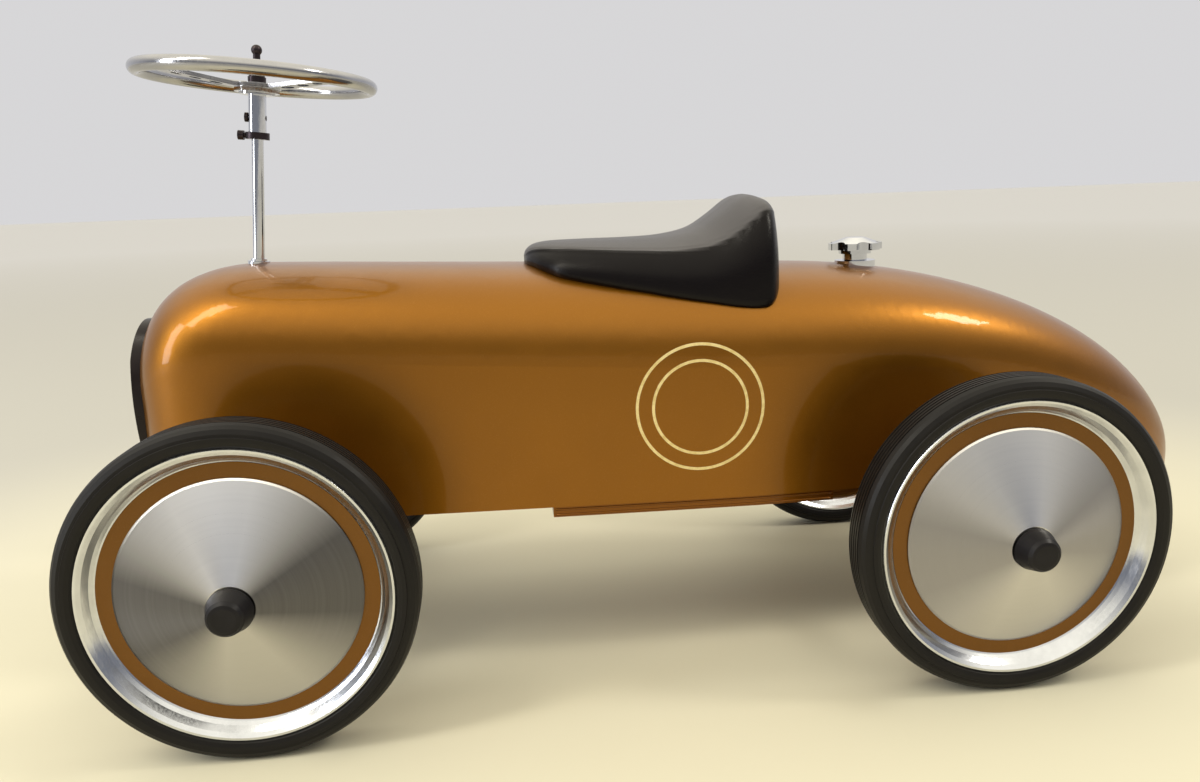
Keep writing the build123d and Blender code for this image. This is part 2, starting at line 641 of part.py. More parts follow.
def mirrored_section(outer_half):
    """Completes a wheel outline given from the outer side to the middle of its width."""
    inner_half = [(radius, 2 * RIM_MID - y) for radius, y in reversed(outer_half)]
    return outer_half + inner_half


rim_visible = [
    (90.4, -0.4),
    (89.5, 0.7),
    (88.2, 0.5),
    (86.0, -1.6),
    (83.2, -5.2),
    (81.4, -7.0),
    (DISH_R, -7.7),
]
rim_seat = [(88.9, -1.2), (85.7, -4.4), (83.0, -7.8), (82.0, -9.2)]
tyre_side = [
    (90.5, -0.4),
    (91.6, 0.7),
    (94.0, 1.5),
    (96.4, 1.7),
    (96.8, 0.9),
    (98.6, 0.8),
    (101.2, -0.4),
    (103.0, -2.6),
    (103.7, -4.6),
]
GROOVES = (-6.4, -9.7, -13.0)
GROOVE_HALF = 0.8
GROOVE_DEEP = 1.6


def rim_outline():
    """Rolled lips joined by a well. The inner half mirrors the outer one."""
    face_side = mirrored_section(rim_visible)
    seat_side = mirrored_section(rim_seat)
    return face_side + list(reversed(seat_side))


def tyre_outline():
    """A solid tyre seated in the rim, with ribs round the tread and a step on the sidewall."""
    tread = []
    for groove in GROOVES:
        floor = WHEEL_R - GROOVE_DEEP
        tread.append((WHEEL_R, groove + GROOVE_HALF))
        tread.append((floor, groove + GROOVE_HALF * 0.6))
        if groove != RIM_MID:
            tread.append((floor, groove - GROOVE_HALF * 0.6))
            tread.append((WHEEL_R, groove - GROOVE_HALF))
    outer = mirrored_section(tyre_side + tread)
    inner = mirrored_section(rim_seat)
    return outer + list(reversed(inner))


DISC_T = 1.2
DISC_FLANGE = -16.0
bore = SPINDLE_R + RUNNING
disc_back = -DISC_DEPTH - DISC_T
disc_outline = [
    (bore, CONE_TOP - 1.0),
    (HUB_R, CONE_TOP - 1.0),
    (HUB_R, -DISC_DEPTH),
    (DISH_R, -DISC_DEPTH),
    (DISH_R, DISC_FLANGE),
    (DISH_R - DISC_T, DISC_FLANGE),
    (DISH_R - DISC_T, disc_back),
    (HUB_R + 4.0, disc_back),
    (HUB_R, disc_back - 5.0),
    (HUB_R, -HUB_IN),
    (bore, -HUB_IN),
]
CONE_T = 0.8
cone_bore = SPINDLE_R + 0.8
cone_outline = [
    (TRIM_R, -DISC_DEPTH),
    (TRIM_R, -DISC_DEPTH + 1.0),
    (TRIM_R - 1.2, -DISC_DEPTH + 1.8),
    (CAP_BASE_R + 0.6, CONE_TOP),
    (cone_bore, CONE_TOP),
    (cone_bore, CONE_TOP - CONE_T),
    (CAP_BASE_R, CONE_TOP - CONE_T),
    (TRIM_R - 2.6, -DISC_DEPTH + 0.4),
    (TRIM_R - 2.6, -DISC_DEPTH),
]
wheel_parts = {"rim": rim_outline(), "tyre": tyre_outline(), "disc": disc_outline, "cone": cone_outline}
wheel_spots = {
    "fl": (FRONT_X, 1),
    "fr": (FRONT_X, -1),
    "rl": (REAR_X, 1),
    "rr": (REAR_X, -1),
}
for corner, (x, side) in wheel_spots.items():
    for piece, outline in wheel_parts.items():
        from_centre = [(radius, LIP_Y + y) for radius, y in outline]
        keep(f"{piece}_{corner}", Pos(x, 0, AXLE_Z) * spun(from_centre, side))

# ---------------------------------------------------------------- saddle
SADDLE = [
    # x, top at the middle, shoulder height, shoulder half-width, skirt half-width, skirt height
    (117.0, 283.0, 281.5, 5.0, 9.0, 275.0),
    (115.5, 286.5, 284.6, 12.0, 18.0, 274.0),
    (111.5, 289.6, 287.2, 20.0, 28.0, 272.0),
    (105.0, 291.5, 288.4, 29.0, 39.5, 269.0),
    (93.0, 292.4, 288.6, 39.5, 51.5, 265.5),
    (69.0, 292.6, 288.0, 49.5, 60.5, 260.0),
    (41.0, 292.6, 286.8, 57.0, 67.5, 254.5),
    (15.0, 293.8, 286.4, 62.5, 73.0, 249.8),
    (-7.0, 298.4, 288.8, 65.5, 76.5, 246.5),
    (-23.0, 307.8, 295.6, 67.5, 78.8, 244.5),
    (-37.0, 318.0, 306.5, 68.0, 79.6, 243.5),
    (-45.0, 320.8, 313.0, 67.0, 79.0, 243.0),
    (-50.5, 319.8, 314.0, 63.5, 75.5, 243.0),
    (-55.0, 317.0, 312.5, 55.0, 67.0, 243.5),
    (-58.0, 312.5, 309.0, 42.0, 54.0, 244.5),
    (-60.0, 306.0, 303.0, 26.0, 37.0, 246.5),
]


def saddle_section(x, top, shoulder, reach, skirt, hem):
    """One cross-section of the saddle: a low crown, rounded shoulders and flared sides."""
    mid_rise = top - shoulder
    side = [
        (x, skirt, hem),
        (x, skirt - 0.18 * (skirt - reach), hem + 0.52 * (shoulder - hem)),
        (x, reach, shoulder - 0.1 * (shoulder - hem)),
        (x, reach * 0.78, shoulder + 0.22 * mid_rise),
        (x, reach * 0.4, shoulder + 0.82 * mid_rise),
        (x, 0.0, top),
    ]
    other = [(px, -py, pz) for px, py, pz in reversed(side[:-1])]
    with BuildLine() as outline:
        Spline(side + other)
        Line(other[-1], side[0])
    return Wire(outline.edges())


saddle = Solid.make_loft([saddle_section(*row) for row in SADDLE])
saddle -= body_solid(SADDLE_CLEAR)

# seat base: a flat plate inside the foam, held by two screws from below
BASE_TILT = degrees(atan2(CROWN_RISE, 1))
BASE_UP = 1.0
BASE_T = 4.0
BASE_HALF = 17.0
BASE_X = (-42.0, 84.0)
POCKET_GAP = 0.3
SCREW_HEAD_R = 6.0
base_origin = Pos(0, 0, CROWN_Z + BASE_UP) * Rot(0, -BASE_TILT, 0)
base = base_origin * block(BASE_X, (-BASE_HALF, BASE_HALF), (0.0, BASE_T))
pocket_x = (BASE_X[0] - POCKET_GAP, BASE_X[1] + POCKET_GAP)
pocket_y = (-BASE_HALF - POCKET_GAP, BASE_HALF + POCKET_GAP)
pocket = base_origin * block(pocket_x, pocket_y, (-2 * BASE_T, BASE_T + POCKET_GAP))
seat_screws = []
for x in SEAT_SCREW_X:
    inside = crown(x) - SKIN
    screw = cyl(SEAT_SCREW_R, inside - 0.5, inside + 6.0, at=(x, 0))
    screw += cyl(SCREW_HEAD_R, inside - 3.5, inside - 0.4, at=(x, 0))
    base -= screw
    seat_screws.append(screw)
keep("seat_base", base)
keep("seat_pad", saddle - pocket)
keep("seat_screws", Compound(seat_screws))

# ---------------------------------------------------------------- filler cap
FILLER_LOBES = 6
FILLER_FLANGE_R = 15.0
FILLER_NECK_R = 9.0
FILLER_CAP_R = 20.0
LOBE_CUT_R = 6.4
filler_z = crown(FILLER_X)
cap_low = filler_z + 8.0
cap_mid = cap_low + 3.0
cap_high = cap_mid + 5.0
centre = (FILLER_X, 0)
flange = cyl(FILLER_FLANGE_R, filler_z - 8.0, filler_z + 3.0, at=centre) - BODY
flange += cyl(FILLER_NECK_R, filler_z + 0.5, cap_low, at=centre) - BODY
flange -= cyl(FILLER_SCREW_R, *ROOF_CUT, at=centre)
cap = cyl(FILLER_NECK_R + 3.0, cap_low, cap_mid, at=centre)
cap += cyl(FILLER_CAP_R, cap_mid, cap_high, at=centre)
dome = Cone(FILLER_CAP_R - 2.0, 7.0, 4.0, align=(Align.CENTER, Align.CENTER, Align.MIN))
cap += Pos(FILLER_X, 0, cap_high) * dome
lobe_reach = FILLER_CAP_R + 1.6
for lobe in range(FILLER_LOBES):
    turn = 2 * pi * (lobe + 0.5) / FILLER_LOBES
    spot = (FILLER_X + lobe_reach * cos(turn), lobe_reach * sin(turn))
    cap -= cyl(LOBE_CUT_R, cap_low + 2.0, cap_high + 5.0, at=spot)
screw_top = cap_low + 6.0
screw_low = filler_z - SKIN - 1.0
cap -= cyl(FILLER_SCREW_R, cap_low - 1, screw_top, at=centre)
filler_screw = cyl(FILLER_SCREW_R, screw_low, screw_top, at=centre)
filler_screw += cyl(SCREW_HEAD_R, screw_low - 3.0, screw_low, at=centre)
keep("filler_flange", flange)
keep("filler_cap", cap)
keep("filler_screw", filler_screw)

# ---------------------------------------------------------------- export
os.makedirs("parts", exist_ok=True)
for name, shape in parts.items():
    export_step(shape, f"parts/{name}.step")
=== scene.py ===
import json
from math import cos, exp, pi, sin

import bpy
from mathutils import Matrix, Vector
from mathutils.bvhtree import BVHTree


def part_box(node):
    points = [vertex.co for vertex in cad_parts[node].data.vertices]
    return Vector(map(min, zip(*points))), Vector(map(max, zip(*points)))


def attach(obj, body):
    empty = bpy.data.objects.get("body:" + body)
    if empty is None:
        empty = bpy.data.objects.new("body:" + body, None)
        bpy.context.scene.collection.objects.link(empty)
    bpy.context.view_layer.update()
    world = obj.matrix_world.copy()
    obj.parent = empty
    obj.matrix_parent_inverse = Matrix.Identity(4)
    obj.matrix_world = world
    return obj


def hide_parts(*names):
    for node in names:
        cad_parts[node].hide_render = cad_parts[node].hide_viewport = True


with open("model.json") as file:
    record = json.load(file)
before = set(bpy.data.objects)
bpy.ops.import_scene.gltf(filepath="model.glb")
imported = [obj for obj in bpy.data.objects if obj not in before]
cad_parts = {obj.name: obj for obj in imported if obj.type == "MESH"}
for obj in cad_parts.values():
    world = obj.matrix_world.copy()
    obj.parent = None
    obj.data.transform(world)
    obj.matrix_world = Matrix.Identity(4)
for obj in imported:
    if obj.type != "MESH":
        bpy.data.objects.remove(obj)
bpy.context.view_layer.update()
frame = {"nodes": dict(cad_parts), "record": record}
NODES = frame["nodes"]
MM = 0.001


# ---------------------------------------------------------------- material building
class Shader:
    """A node material being built, with short calls for the nodes used here."""

    def __init__(self, name, colour, metallic, roughness, **sockets):
        self.mat = bpy.data.materials.new(name)
        self.mat.use_nodes = True
        self.nodes = self.mat.node_tree.nodes
        self.links = self.mat.node_tree.links
        self.bsdf = self.nodes["Principled BSDF"]
        self.set("Base Color", (*colour, 1.0))
        self.set("Metallic", metallic)
        self.set("Roughness", roughness)
        for socket, value in sockets.items():
            self.set(socket.replace("_", " "), value)
        self.place = self.nodes.new("ShaderNodeTexCoord").outputs["Object"]

    def set(self, socket, value):
        """Sets one of the shader's own sockets."""
        self.bsdf.inputs[socket].default_value = value

    def join(self, out, socket):
        """Links an output to one of the shader's own sockets."""
        self.links.new(out, self.bsdf.inputs[socket])

    def node(self, kind, inputs=(), **settings):
        """A new node with its settings, and inputs that are values or other nodes' outputs."""
        made = self.nodes.new(kind)
        for key, value in settings.items():
            setattr(made, key, value)
        for key, value in dict(inputs).items():
            if isinstance(value, bpy.types.NodeSocket):
                self.links.new(value, made.inputs[key])
            else:
                made.inputs[key].default_value = value
        return made

    def noise(self, scale, detail=3.0, rough=0.5, at=None, squeeze=None):
        """Noise from 0 to 1. squeeze stretches the pattern along axes."""
        place = self.place if at is None else at
        if squeeze:
            place = self.node("ShaderNodeMapping", {"Vector": place, "Scale": squeeze}).outputs[0]
        inputs = {"Vector": place, "Scale": scale, "Detail": detail, "Roughness": rough}
        return self.node("ShaderNodeTexNoise", inputs).outputs["Fac"]

    def cells(self, scale, out="Distance", feature="F1", at=None):
        """A Voronoi pattern."""
        place = self.place if at is None else at
        inputs = {"Vector": place, "Scale": scale}
        return self.node("ShaderNodeTexVoronoi", inputs, feature=feature).outputs[out]

    def spread(self, value, low, high, to_low, to_high):
        """Maps a value from one range to another, clamped."""
        inputs = {0: value, 1: low, 2: high, 3: to_low, 4: to_high}
        return self.node("ShaderNodeMapRange", inputs).outputs[0]

    def maths(self, what, first, second=0.0):
        """One Math node."""
        return self.node("ShaderNodeMath", {0: first, 1: second}, operation=what).outputs[0]

    def blend(self, amount, first, second):
        """A mix of two colours, which are triples or outputs."""
        made = self.node("ShaderNodeMix", {"Factor": amount}, data_type="RGBA")
        for socket, value in ((made.inputs[6], first), (made.inputs[7], second)):
            if isinstance(value, bpy.types.NodeSocket):
                self.links.new(value, socket)
            else:
                socket.default_value = (*value, 1.0)
        return made.outputs[2]

    def bump(self, height, strength, distance, under=None):
        """Surface relief from a height, on top of any earlier relief."""
        inputs = {"Height": height, "Strength": strength, "Distance": distance}
        if under is not None:
            inputs["Normal"] = under
        out = self.node("ShaderNodeBump", inputs).outputs[0]
        self.join(out, "Normal")
        return out

    def radius(self, x, z):
        """Distance from an axle line at (x, z), and the node with the offsets from it."""
        shift = {0: self.place, 1: (-x, 0.0, -z)}
        moved = self.node("ShaderNodeVectorMath", shift, operation="ADD").outputs[0]
        parts = self.node("ShaderNodeSeparateXYZ", {0: moved})
        flat = {"X": parts.outputs["X"], "Z": parts.outputs["Z"]}
        spoke = {0: self.node("ShaderNodeCombineXYZ", flat).outputs[0]}
        length = self.node("ShaderNodeVectorMath", spoke, operation="LENGTH").outputs["Value"]
        return length, parts


PAINTED_FAN_ANGLE = 1.43  # radians from straight ahead up to the painted highlight line across the spun discs
PAINTED_FAN_TONES = {"f": (0.115, 0.98), "r": (0.34, 0.92)}  # painted shade and painted highlight tones of the discs' fan, front and rear


def paint(name, deep, bright, roughness=0.37):
    """Metallic gold enamel: fine flake, soft tone changes, faint orange peel and a clear coat."""
    s = Shader(name, deep, 0.88, roughness, Coat_Weight=0.42, Coat_Roughness=0.07, Coat_IOR=1.42)
    tone = s.noise(4.0, 2.0)
    flake = s.node("ShaderNodeRGBToBW", {0: s.cells(2300.0, "Color")}).outputs[0]
    base = s.blend(s.spread(tone, 0.3, 0.7, 0.0, 1.0), deep, bright)
    glint = tuple(min(1.0, c * 1.5 + 0.03) for c in bright)
    s.join(s.blend(s.spread(flake, 0.72, 1.0, 0.0, 0.25), base, glint), "Base Color")
    s.join(s.spread(s.noise(30.0, 4.0), 0.3, 0.75, roughness - 0.03, roughness + 0.04), "Roughness")
    s.bump(s.noise(160.0, 2.0), 0.04, 0.0005)
    return s.mat


def chrome(name, tone, rough, scuff):
    """Bright plating with faint wipe marks and slight ripple."""
    s = Shader(name, tone, 1.0, rough)
    smear = s.noise(60.0, 5.0, 0.6)
    fine = s.noise(900.0, 2.0, squeeze=(1.0, 1.0, 0.15))
    mixed = s.maths("MULTIPLY", smear, fine)
    s.join(s.spread(mixed, 0.12, 0.45, rough, rough + scuff), "Roughness")
    dulled = tuple(c * 0.88 for c in tone)
    s.join(s.blend(s.spread(smear, 0.35, 0.7, 0.0, 1.0), tone, dulled), "Base Color")
    s.bump(s.noise(35.0, 2.0), 0.03, 0.002)
    return s.mat


def spun(name, x, z, dark, bright):
    """Brushed, spun steel: fine circles about the axle with a real anisotropic sheen, and a fan of
    light and shade painted into its colour, the lower half in painted shade.
    """
    s = Shader(name, (0.6, 0.6, 0.62), 1.0, 0.3, Anisotropic=0.9)
    radius, parts = s.radius(x, z)
    rings = s.node("ShaderNodeCombineXYZ", {"X": radius}).outputs[0]
    fine = s.noise(5200.0, 2.0, 0.6, at=rings)
    broad = s.noise(380.0, 3.0, 0.6, at=rings)
    tangent = s.node("ShaderNodeTangent", direction_type="RADIAL", axis="Y").outputs[0]
    s.join(tangent, "Tangent")
    angle = s.maths("ARCTAN2", parts.outputs["Z"], parts.outputs["X"])
    # painted light: bright and dark sectors of a fan about the axle, set into the base colour
    fan = s.maths("COSINE", s.maths("MULTIPLY", s.maths("SUBTRACT", angle, PAINTED_FAN_ANGLE), 2.0))
    # painted shade: the lower half of the disc is made darker
    upper = s.spread(s.maths("SINE", angle), -0.5, 0.5, 0.5, 1.0)
    painted_fan_light = s.maths("MULTIPLY", s.spread(fan, -0.75, 0.75, 0.0, 1.0), upper)
    # painted shade and painted highlight tones of the fan
    tone = s.blend(painted_fan_light, (dark, dark * 0.97, dark), (bright, bright * 0.98, bright * 0.95))
    tone = s.blend(s.spread(broad, 0.3, 0.7, 0.0, 0.08), tone, (0.42, 0.42, 0.44))
    s.join(tone, "Base Color")
    s.join(s.spread(fine, 0.25, 0.75, 0.26, 0.38), "Roughness")
    s.bump(fine, 0.08, 0.0001)
    return s.mat


def rubber(name):
    """Tyre rubber: near black, dusty in patches, finely pitted."""
    s = Shader(name, (0.009, 0.008, 0.008), 0.0, 0.46, Specular_IOR_Level=0.21)
    dust = s.noise(28.0, 6.0, 0.65)
    clean, dusty = (0.008, 0.007, 0.0066), (0.023, 0.02, 0.0165)
    s.join(s.blend(s.spread(dust, 0.5, 0.85, 0.0, 0.4), clean, dusty), "Base Color")
    s.join(s.spread(dust, 0.35, 0.75, 0.38, 0.58), "Roughness")
    pits = s.bump(s.noise(1500.0, 3.0), 0.12, 0.0003)
    s.bump(s.noise(120.0, 3.0), 0.06, 0.0008, pits)
    return s.mat


def moulding(name, tone, rough, grain, depth):
    """A moulded plastic with a fine grain."""
    s = Shader(name, tone, 0.0, rough, Specular_IOR_Level=0.2)
    spots = s.noise(grain, 4.0, 0.6)
    patch = s.noise(45.0, 4.0)
    s.join(s.spread(patch, 0.3, 0.7, rough * 0.85, rough * 1.2), "Roughness")
    paler = tuple(c * 1.5 + 0.003 for c in tone)
    s.join(s.blend(s.spread(patch, 0.4, 0.75, 0.0, 1.0), tone, paler), "Base Color")
    s.bump(spots, depth, 0.0003)
    return s.mat


def metal(name, tone, rough, scale):
    """Plated or drawn steel for the running gear and fasteners."""
    s = Shader(name, tone, 1.0, rough)
    stain = s.noise(scale, 5.0, 0.65)
    stained = tuple(c * 0.72 for c in tone)
    s.join(s.blend(s.spread(stain, 0.35, 0.7, 0.0, 1.0), tone, stained), "Base Color")
    s.join(s.spread(stain, 0.3, 0.7, rough * 0.8, rough * 1.35), "Roughness")
    s.bump(s.noise(scale * 9.0, 3.0), 0.1, 0.0002)
    return s.mat


def coated(name, tone, rough):
    """Satin black coating on pressed steel."""
    s = Shader(name, tone, 0.0, rough, Coat_Weight=0.25, Coat_Roughness=0.3)
    haze = s.noise(55.0, 5.0, 0.6)
    hazed = tuple(c + 0.02 for c in tone)
    s.join(s.blend(s.spread(haze, 0.4, 0.8, 0.0, 0.6), tone, hazed), "Base Color")
    s.join(s.spread(haze, 0.3, 0.7, rough * 0.85, rough * 1.2), "Roughness")
    s.bump(s.noise(420.0, 2.0), 0.08, 0.0004)
    return s.mat


def foam_skin(name):
    """The saddle's moulded skin: fine leather-like grain, a grey sheen painted onto the top panel in
    random patches, and darker sides.
    """
    s = Shader(name, (0.008, 0.007, 0.0075), 0.0, 0.3, Specular_IOR_Level=0.15)
    warp = s.noise(90.0, 2.0)
    shifted = s.node("ShaderNodeVectorMath", {0: s.place, 1: (1.0, 1.0, 1.0)}, operation="MULTIPLY_ADD")
    s.links.new(s.maths("MULTIPLY", warp, 0.004), shifted.inputs[2])
    pebble = s.cells(620.0, "Distance", "DISTANCE_TO_EDGE", at=shifted.outputs[0])
    crease = s.spread(pebble, 0.0, 0.12, 0.0, 1.0)
    # painted sheen: the top panel is lit grey in random patches, standing in for the reflection of the
    # ceiling
    rubbed_and_sheen = s.spread(s.noise(16.0, 4.0), 0.3, 0.7, 0.75, 1.0)
    panel = s.node("ShaderNodeAttribute", attribute_name="panel").outputs["Fac"]
    wear_and_sheen = s.maths("MULTIPLY", rubbed_and_sheen, panel)
    # the grey is painted sheen on the top panel; the dark tone is the skin's own black
    s.join(s.blend(wear_and_sheen, (0.004, 0.0028, 0.0032), (0.082, 0.077, 0.079)), "Base Color")
    s.join(s.spread(wear_and_sheen, 0.0, 1.0, 0.27, 0.35), "Roughness")
    grain = s.bump(crease, 0.16, 0.0003)
    s.bump(s.noise(30.0, 3.0, squeeze=(1.6, 0.5, 1.0)), 0.16, 0.004, grain)
    return s.mat


def plywood(name):
    """Thin plywood, for the board inside the saddle."""
    s = Shader(name, (0.4, 0.27, 0.14), 0.0, 0.6)
    grain = s.noise(60.0, 5.0, 0.6, squeeze=(0.15, 2.2, 2.2))
    late, early = (0.28, 0.17, 0.08), (0.5, 0.36, 0.2)
    s.join(s.blend(s.spread(grain, 0.3, 0.7, 0.0, 1.0), late, early), "Base Color")
    s.bump(grain, 0.2, 0.0006)
    return s.mat


def foil(name):
    """Pale gold foil of the line marking on the body's sides."""
    s = Shader(name, (0.85, 0.68, 0.28), 0.25, 0.38)
    wear_and_sheen = s.noise(220.0, 4.0, 0.65)
    fresh, rubbed_and_sheen = (0.88, 0.72, 0.34), (0.68, 0.5, 0.17)
    s.join(s.blend(s.spread(wear_and_sheen, 0.4, 0.75, 0.0, 1.0), fresh, rubbed_and_sheen), "Base Color")
    s.join(s.spread(wear_and_sheen, 0.3, 0.7, 0.32, 0.5), "Roughness")
    s.bump(wear_and_sheen, 0.05, 0.0002)
    return s.mat


SLOT_LOOK = {
    "body_paint": paint("gold_enamel", (0.262, 0.101, 0.0045), (0.29, 0.114, 0.0055)),
    # a darker copy of the body's gold enamel: painted shade for the wheel discs recessed inside the
    # rims
    "wheel_paint": paint("gold_enamel_wheel_shaded", (0.17, 0.07, 0.007), (0.2, 0.082, 0.009), 0.46),
    "frame_black": coated("black_chassis_coat", (0.016, 0.016, 0.017), 0.42),
    "black_plastic": moulding("grille_surround_black", (0.01, 0.0065, 0.0065), 0.3, 700.0, 0.06),
    "grille_black": moulding("grille_bars_black", (0.012, 0.012, 0.013), 0.48, 500.0, 0.1),
    "cap_black": moulding("hub_cap_black", (0.007, 0.0062, 0.0075), 0.36, 900.0, 0.12),
    "nylon": moulding("dark_nylon", (0.035, 0.035, 0.038), 0.5, 600.0, 0.08),
    "zinc": metal("zinc_plate", (0.58, 0.6, 0.63), 0.32, 70.0),
    "axle_steel": metal("drawn_steel", (0.5, 0.5, 0.52), 0.3, 45.0),
    "dark_screw": metal("blackened_steel", (0.05, 0.04, 0.045), 0.35, 90.0),
    "chrome": chrome("bright_chrome", (0.74, 0.75, 0.78), 0.05, 0.1),
    "column_chrome": chrome("column_chrome", (0.7, 0.71, 0.74), 0.06, 0.12),
    "wheel_chrome": chrome("steering_wheel_chrome", (0.43, 0.43, 0.45), 0.1, 0.16),
    "rim_chrome": chrome("rim_chrome", (0.66, 0.68, 0.73), 0.12, 0.14),
    "tyre_rubber": rubber("tyre_rubber"),
    "seat_foam": foam_skin("saddle_skin"),
    "seat_board": plywood("saddle_board"),
}


def wheel_centre(corner):
    """X and Z of a wheel's axle line, from its tyre's box."""
    low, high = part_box(f"tyre_{corner}")
    return (low[0] + high[0]) / 2, (low[2] + high[2]) / 2


# a darker copy of the body's gold enamel: painted shade on the tray under the body's edge
SHADED_TRAY_PAINT = paint("gold_enamel_tray_shaded", (0.2, 0.068, 0.003), (0.225, 0.08, 0.004))

for entry in frame["record"]["subparts"]:
    node, slot = entry["node"], entry["material_slot"]
    if node == "belly_tray":
        look = SHADED_TRAY_PAINT
    elif slot == "spun_steel":
        corner = node.rsplit("_", 1)[-1]
        look = spun(f"spun_steel_{corner}", *wheel_centre(corner), *PAINTED_FAN_TONES[corner[0]])
    else:
        look = SLOT_LOOK[slot]
    owner = NODES[node]
    owner.data.materials.clear()
    owner.data.materials.append(look)
    for edge in owner.material_slots:
        edge.material = look


# ---------------------------------------------------------------- meshes
def mesh_object(name, points, faces, look, smooth=True):
    """A new mesh object in the row frame."""
    mesh = bpy.data.meshes.new(name)
    mesh.from_pydata([tuple(p) for p in points], [], faces)
    mesh.validate()
    for face in mesh.polygons:
        face.use_smooth = smooth
    made = bpy.data.objects.new(name, mesh)
    bpy.context.scene.collection.objects.link(made)
    made.data.materials.append(look)
    return made


def surface_tree(node):
    """A tree for casting rays at a CAD node."""
    mesh = NODES[node].data
    mesh.calc_loop_triangles()
    corners = [v.co.copy() for v in mesh.vertices]
    return BVHTree.FromPolygons(corners, [tuple(t.vertices) for t in mesh.loop_triangles])


BODY = surface_tree("body_shell")


ABOVE = 0.5  # a height above the saddle, in metres, that rays go down from
BESIDE = 0.3  # a distance outside the body that rays go in from


def body_top(x, y):
    """Height of the body's skin at a point, or None beside the body."""
    hit = BODY.ray_cast(Vector((x, y, ABOVE)), Vector((0, 0, -1)))
    return hit[0].z if hit[0] else None


# ---------------------------------------------------------------- saddle
# x, top at the middle, shoulder height, shoulder half-width, skirt half-width, skirt height, all in mm
SADDLE = [
    (117.0, 283.0, 281.5, 5.0, 9.0, 275.0),
    (115.5, 286.5, 284.6, 12.0, 18.0, 274.0),
    (111.5, 289.6, 287.2, 20.0, 28.0, 272.0),
    (105.0, 291.5, 288.4, 29.0, 39.5, 269.0),
    (93.0, 292.4, 288.6, 39.5, 51.5, 265.5),
    (69.0, 292.6, 288.0, 49.5, 60.5, 260.0),
    (41.0, 292.6, 286.8, 57.0, 67.5, 254.5),
    (15.0, 293.8, 286.4, 62.5, 73.0, 249.8),
    (-7.0, 298.4, 288.8, 65.5, 76.5, 246.5),
    (-23.0, 307.8, 295.6, 67.5, 78.8, 244.5),
    (-37.0, 318.0, 306.5, 68.0, 79.6, 243.5),
    (-45.0, 320.8, 313.0, 67.0, 79.0, 243.0),
    (-50.5, 319.8, 314.0, 63.5, 75.5, 243.0),
    (-55.0, 317.0, 312.5, 55.0, 67.0, 243.5),
    (-58.0, 312.5, 309.0, 42.0, 54.0, 244.5),
    (-60.0, 306.0, 303.0, 26.0, 37.0, 246.5),
]
RINGS = 84  # cross-sections from the front tip to the back
AROUND = 72  # steps round the visible part of a cross-section
UNDER = 16  # steps across its hidden underside
SKIN_GAP = 0.5  # clearance above the body's skin, in mm
PANEL_BLEND = 2.0  # width over which the top panel's painted grey sheen fades into the dark sides, in mm
FINE_STEPS = 240  # steps along one side before the points are spread evenly
SEAM_SHARE = 2.75 / 5  # where the seam lies along the side's curve
SEAM_RISE, SEAM_WIDTH = 1.1, 1.4
GROOVE_DROP, GROOVE_WIDTH, GROOVE_FROM_SEAM = 0.6, 1.5, 3.2
HEM_ROLL, HEM_WIDTH = 2.2, 1.9


def through(rows, share):
    """A point on the smooth curve through rows of numbers, at a share of its length in rows."""
    spot = share * (len(rows) - 1)
    i = min(int(spot), len(rows) - 2)
    t = spot - i
    before, here = rows[max(i - 1, 0)], rows[i]
    after, beyond = rows[i + 1], rows[min(i + 2, len(rows) - 1)]
    out = []
    for a, b, c, d in zip(before, here, after, beyond):
        square = 2 * a - 5 * b + 4 * c - d
        cube = 3 * b - a - 3 * c + d
        out.append(0.5 * (2 * b + (c - a) * t + square * t**2 + cube * t**3))
    return out


def saddle_ring(share):
    """One half of a cross-section, from the middle of the top down to the body.

    Each point has x, y, z, its lift along the surface's normal, and 1 inside the seam or 0 outside,
    which masks the top panel's painted sheen.
    """
    x, top, shoulder, reach, skirt, hem = through(SADDLE, share)
    rise = top - shoulder
    sides = [
        (0.0, top),
        (reach * 0.4, shoulder + 0.82 * rise),
        (reach * 0.78, shoulder + 0.22 * rise),
        (reach, shoulder - 0.1 * (shoulder - hem)),
        (skirt - 0.18 * (skirt - reach), hem + 0.52 * (shoulder - hem)),
        (skirt, hem),
    ]
    fine = [through(sides, k / FINE_STEPS) for k in range(FINE_STEPS + 1)]
    kept = []
    for y, z in fine:
        under = body_top(x * MM, y * MM)
        if kept and under is not None and z < under / MM + SKIN_GAP:
            break
        kept.append((y, z))
    lengths = [0.0]
    for (y0, z0), (y1, z1) in zip(kept, kept[1:]):
        lengths.append(lengths[-1] + ((y1 - y0) ** 2 + (z1 - z0) ** 2) ** 0.5)
    seam_at = lengths[min(int(FINE_STEPS * SEAM_SHARE), len(lengths) - 1)]
    ring = []
    j = 0
    for k in range(AROUND // 2 + 1):
        want = lengths[-1] * k / (AROUND // 2)
        while j < len(lengths) - 2 and lengths[j + 1] < want:
            j += 1
        span = max(lengths[j + 1] - lengths[j], 1e-6)
        t = min(max((want - lengths[j]) / span, 0.0), 1.0)
        y = kept[j][0] + (kept[j + 1][0] - kept[j][0]) * t
        z = kept[j][1] + (kept[j + 1][1] - kept[j][1]) * t
        away = want - seam_at
        from_hem = lengths[-1] - want
        seam = SEAM_RISE * exp(-((away / SEAM_WIDTH) ** 2))
        groove = GROOVE_DROP * exp(-(((away + GROOVE_FROM_SEAM) / GROOVE_WIDTH) ** 2))
        roll = HEM_ROLL * exp(-((from_hem / HEM_WIDTH) ** 2))
        # mask of the top panel that carries the painted sheen
        panel = min(max(0.5 - away / PANEL_BLEND, 0.0), 1.0)
        ring.append((x, y, z, seam - groove - roll, panel))
    return ring


